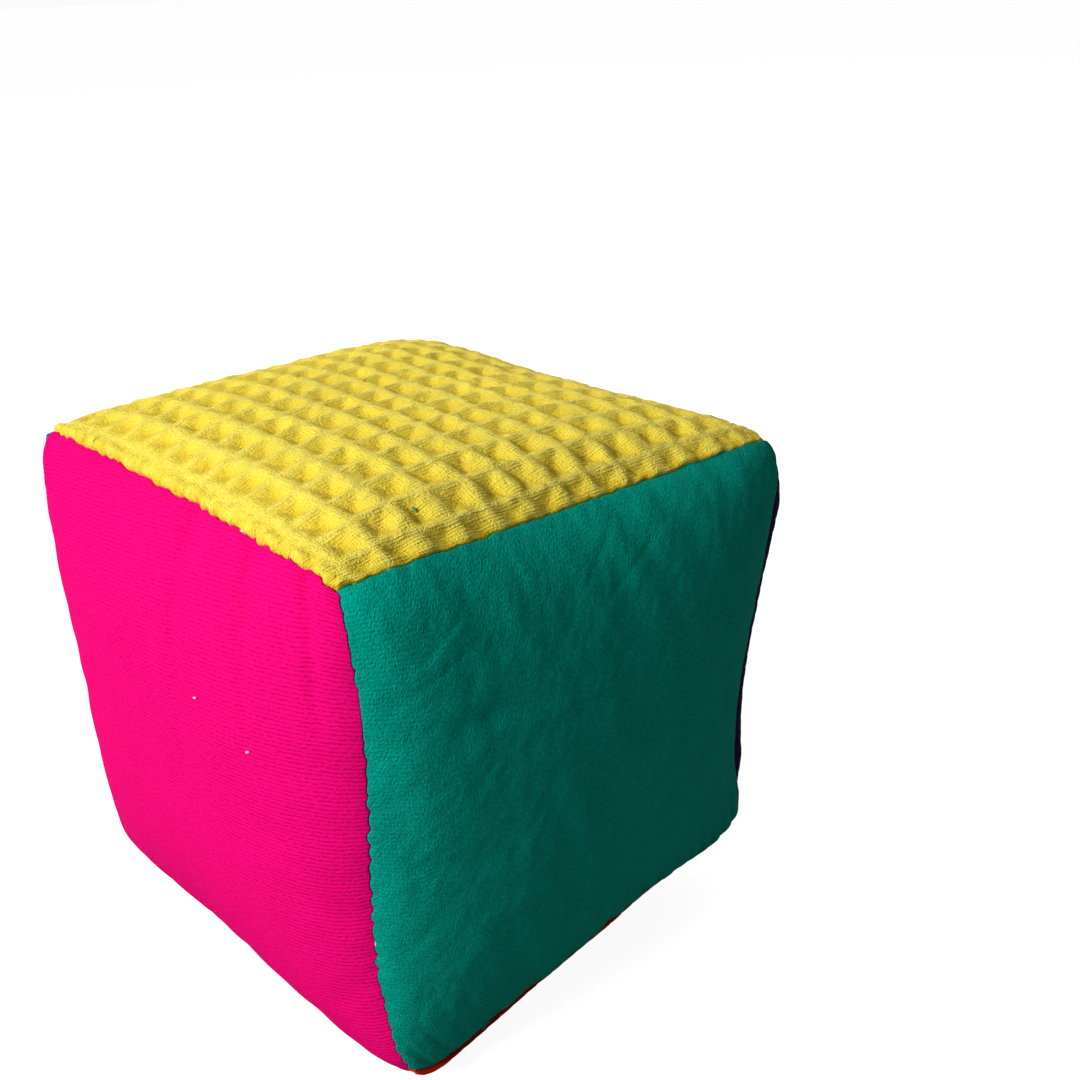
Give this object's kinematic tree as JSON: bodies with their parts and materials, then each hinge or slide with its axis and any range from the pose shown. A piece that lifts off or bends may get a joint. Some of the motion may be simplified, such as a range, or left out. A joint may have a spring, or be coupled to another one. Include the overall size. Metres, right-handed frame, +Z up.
{
  "type": "soft fabric block",
  "caption": "Soft stuffed cube sewn from unlike textured cloths, with a blank folded ribbon label caught in a seam, for babies to grasp, feel and stack.",
  "frame": {"origin": "on the surface that the block stands on, straight below the middle of the cube that its seams outline", "axes": "+Z up through the yellow waffle square, -Y out of the magenta square, +X out of the green square"},
  "size_m": [0.1189, 0.1304, 0.1125],
  "materials": {
    "yellow_waffle": "thick waffle weave, matt, deep square pits",
    "red_cotton": "plain smooth cotton, matt, softly rippled",
    "green_crepe": "crinkled crepe cotton, matt",
    "blue_canvas": "plain canvas, matt",
    "magenta_drill": "fine diagonal drill, matt",
    "purple_brushed": "brushed cotton, matt with a short nap",
    "polyester_filling": "loose white polyester fibre, hidden",
    "white_thread": "spun sewing thread",
    "white_ribbon": "woven satin ribbon, blank"
  },
  "bodies": {
    "block": {"stuffing": "polyester_filling", "panel_yellow": "yellow_waffle", "panel_red": "red_cotton", "panel_green": "green_crepe", "panel_blue": "blue_canvas", "panel_magenta": "magenta_drill", "panel_purple": "purple_brushed", "seam_magenta_red": "white_thread", "seam_magenta_yellow": "white_thread", "seam_purple_red": "white_thread", "seam_purple_yellow": "white_thread", "seam_blue_red": "white_thread", "seam_blue_yellow": "white_thread", "seam_green_red": "white_thread", "seam_green_yellow": "white_thread", "seam_magenta_blue": "white_thread", "seam_purple_blue": "white_thread", "seam_magenta_green": "white_thread", "seam_purple_green": "white_thread", "label_tails": "white_ribbon"},
    "label": {"label_flap": "white_ribbon"}
  },
  "joints": [
    {"name": "label_hinge", "type": "hinge", "parent": "block", "child": "label", "pos_m": [-0.04853, 0.04838, 0.04046], "axis": [0.0289, -0.0329, 0.999], "range_deg": [-3, 188], "stiffness_Nm_per_rad": 0.0001}
  ]
}
